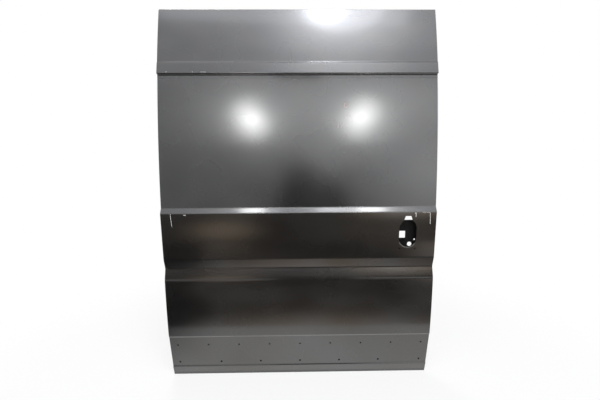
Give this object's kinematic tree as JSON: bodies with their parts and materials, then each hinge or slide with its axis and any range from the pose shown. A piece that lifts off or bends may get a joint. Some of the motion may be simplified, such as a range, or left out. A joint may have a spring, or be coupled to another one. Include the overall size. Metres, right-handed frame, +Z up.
{
  "type": "van sliding door shell",
  "caption": "Bare side sliding door shell of a high-roof van: hemmed outer skins with a handle cut-out over a frame of inner pressings, braces and an impact beam.",
  "frame": {"origin": "centre of the middle roller seat, the flat plate on the inner side of the trailing pillar at waist height", "axes": "+Y inboard, out of the roller seat; -Y is the outer face; +X towards the leading, handle edge; +Z up"},
  "size_m": [1.36, 0.1941, 1.8829],
  "materials": {
    "skin_coat": "glossy black cathodic dip primer on pressed steel",
    "frame_coat": "semi-gloss black cathodic dip primer on pressed steel",
    "mastic": "matte anti-flutter mastic"
  },
  "bodies": {
    "root": {"outer_skin": "skin_coat", "roof_skin": "skin_coat", "front_corner": "frame_coat", "rear_corner": "frame_coat", "front_pillar": "frame_coat", "rear_pillar": "frame_coat", "front_upright": "frame_coat", "rear_upright": "frame_coat", "header_rail": "frame_coat", "belt_rail": "frame_coat", "waist_rail": "frame_coat", "bottom_rail": "frame_coat", "lower_panel": "frame_coat", "upper_brace_low": "frame_coat", "upper_brace_high": "frame_coat", "brace_mastic": "mastic", "waist_mastic": "mastic", "impact_beam": "frame_coat", "beam_front_bracket": "frame_coat", "beam_rear_bracket": "frame_coat", "beam_mastic": "mastic", "handle_bracket": "frame_coat", "front_latch_plate": "frame_coat", "rear_latch_plate": "frame_coat", "upper_roller_plate": "frame_coat", "middle_roller_plate": "frame_coat", "lower_arm_plate": "frame_coat", "upper_rear_gusset": "frame_coat", "waist_front_gusset": "frame_coat", "waist_rear_gusset": "frame_coat", "lower_rear_gusset": "frame_coat"}
  },
  "joints": []
}
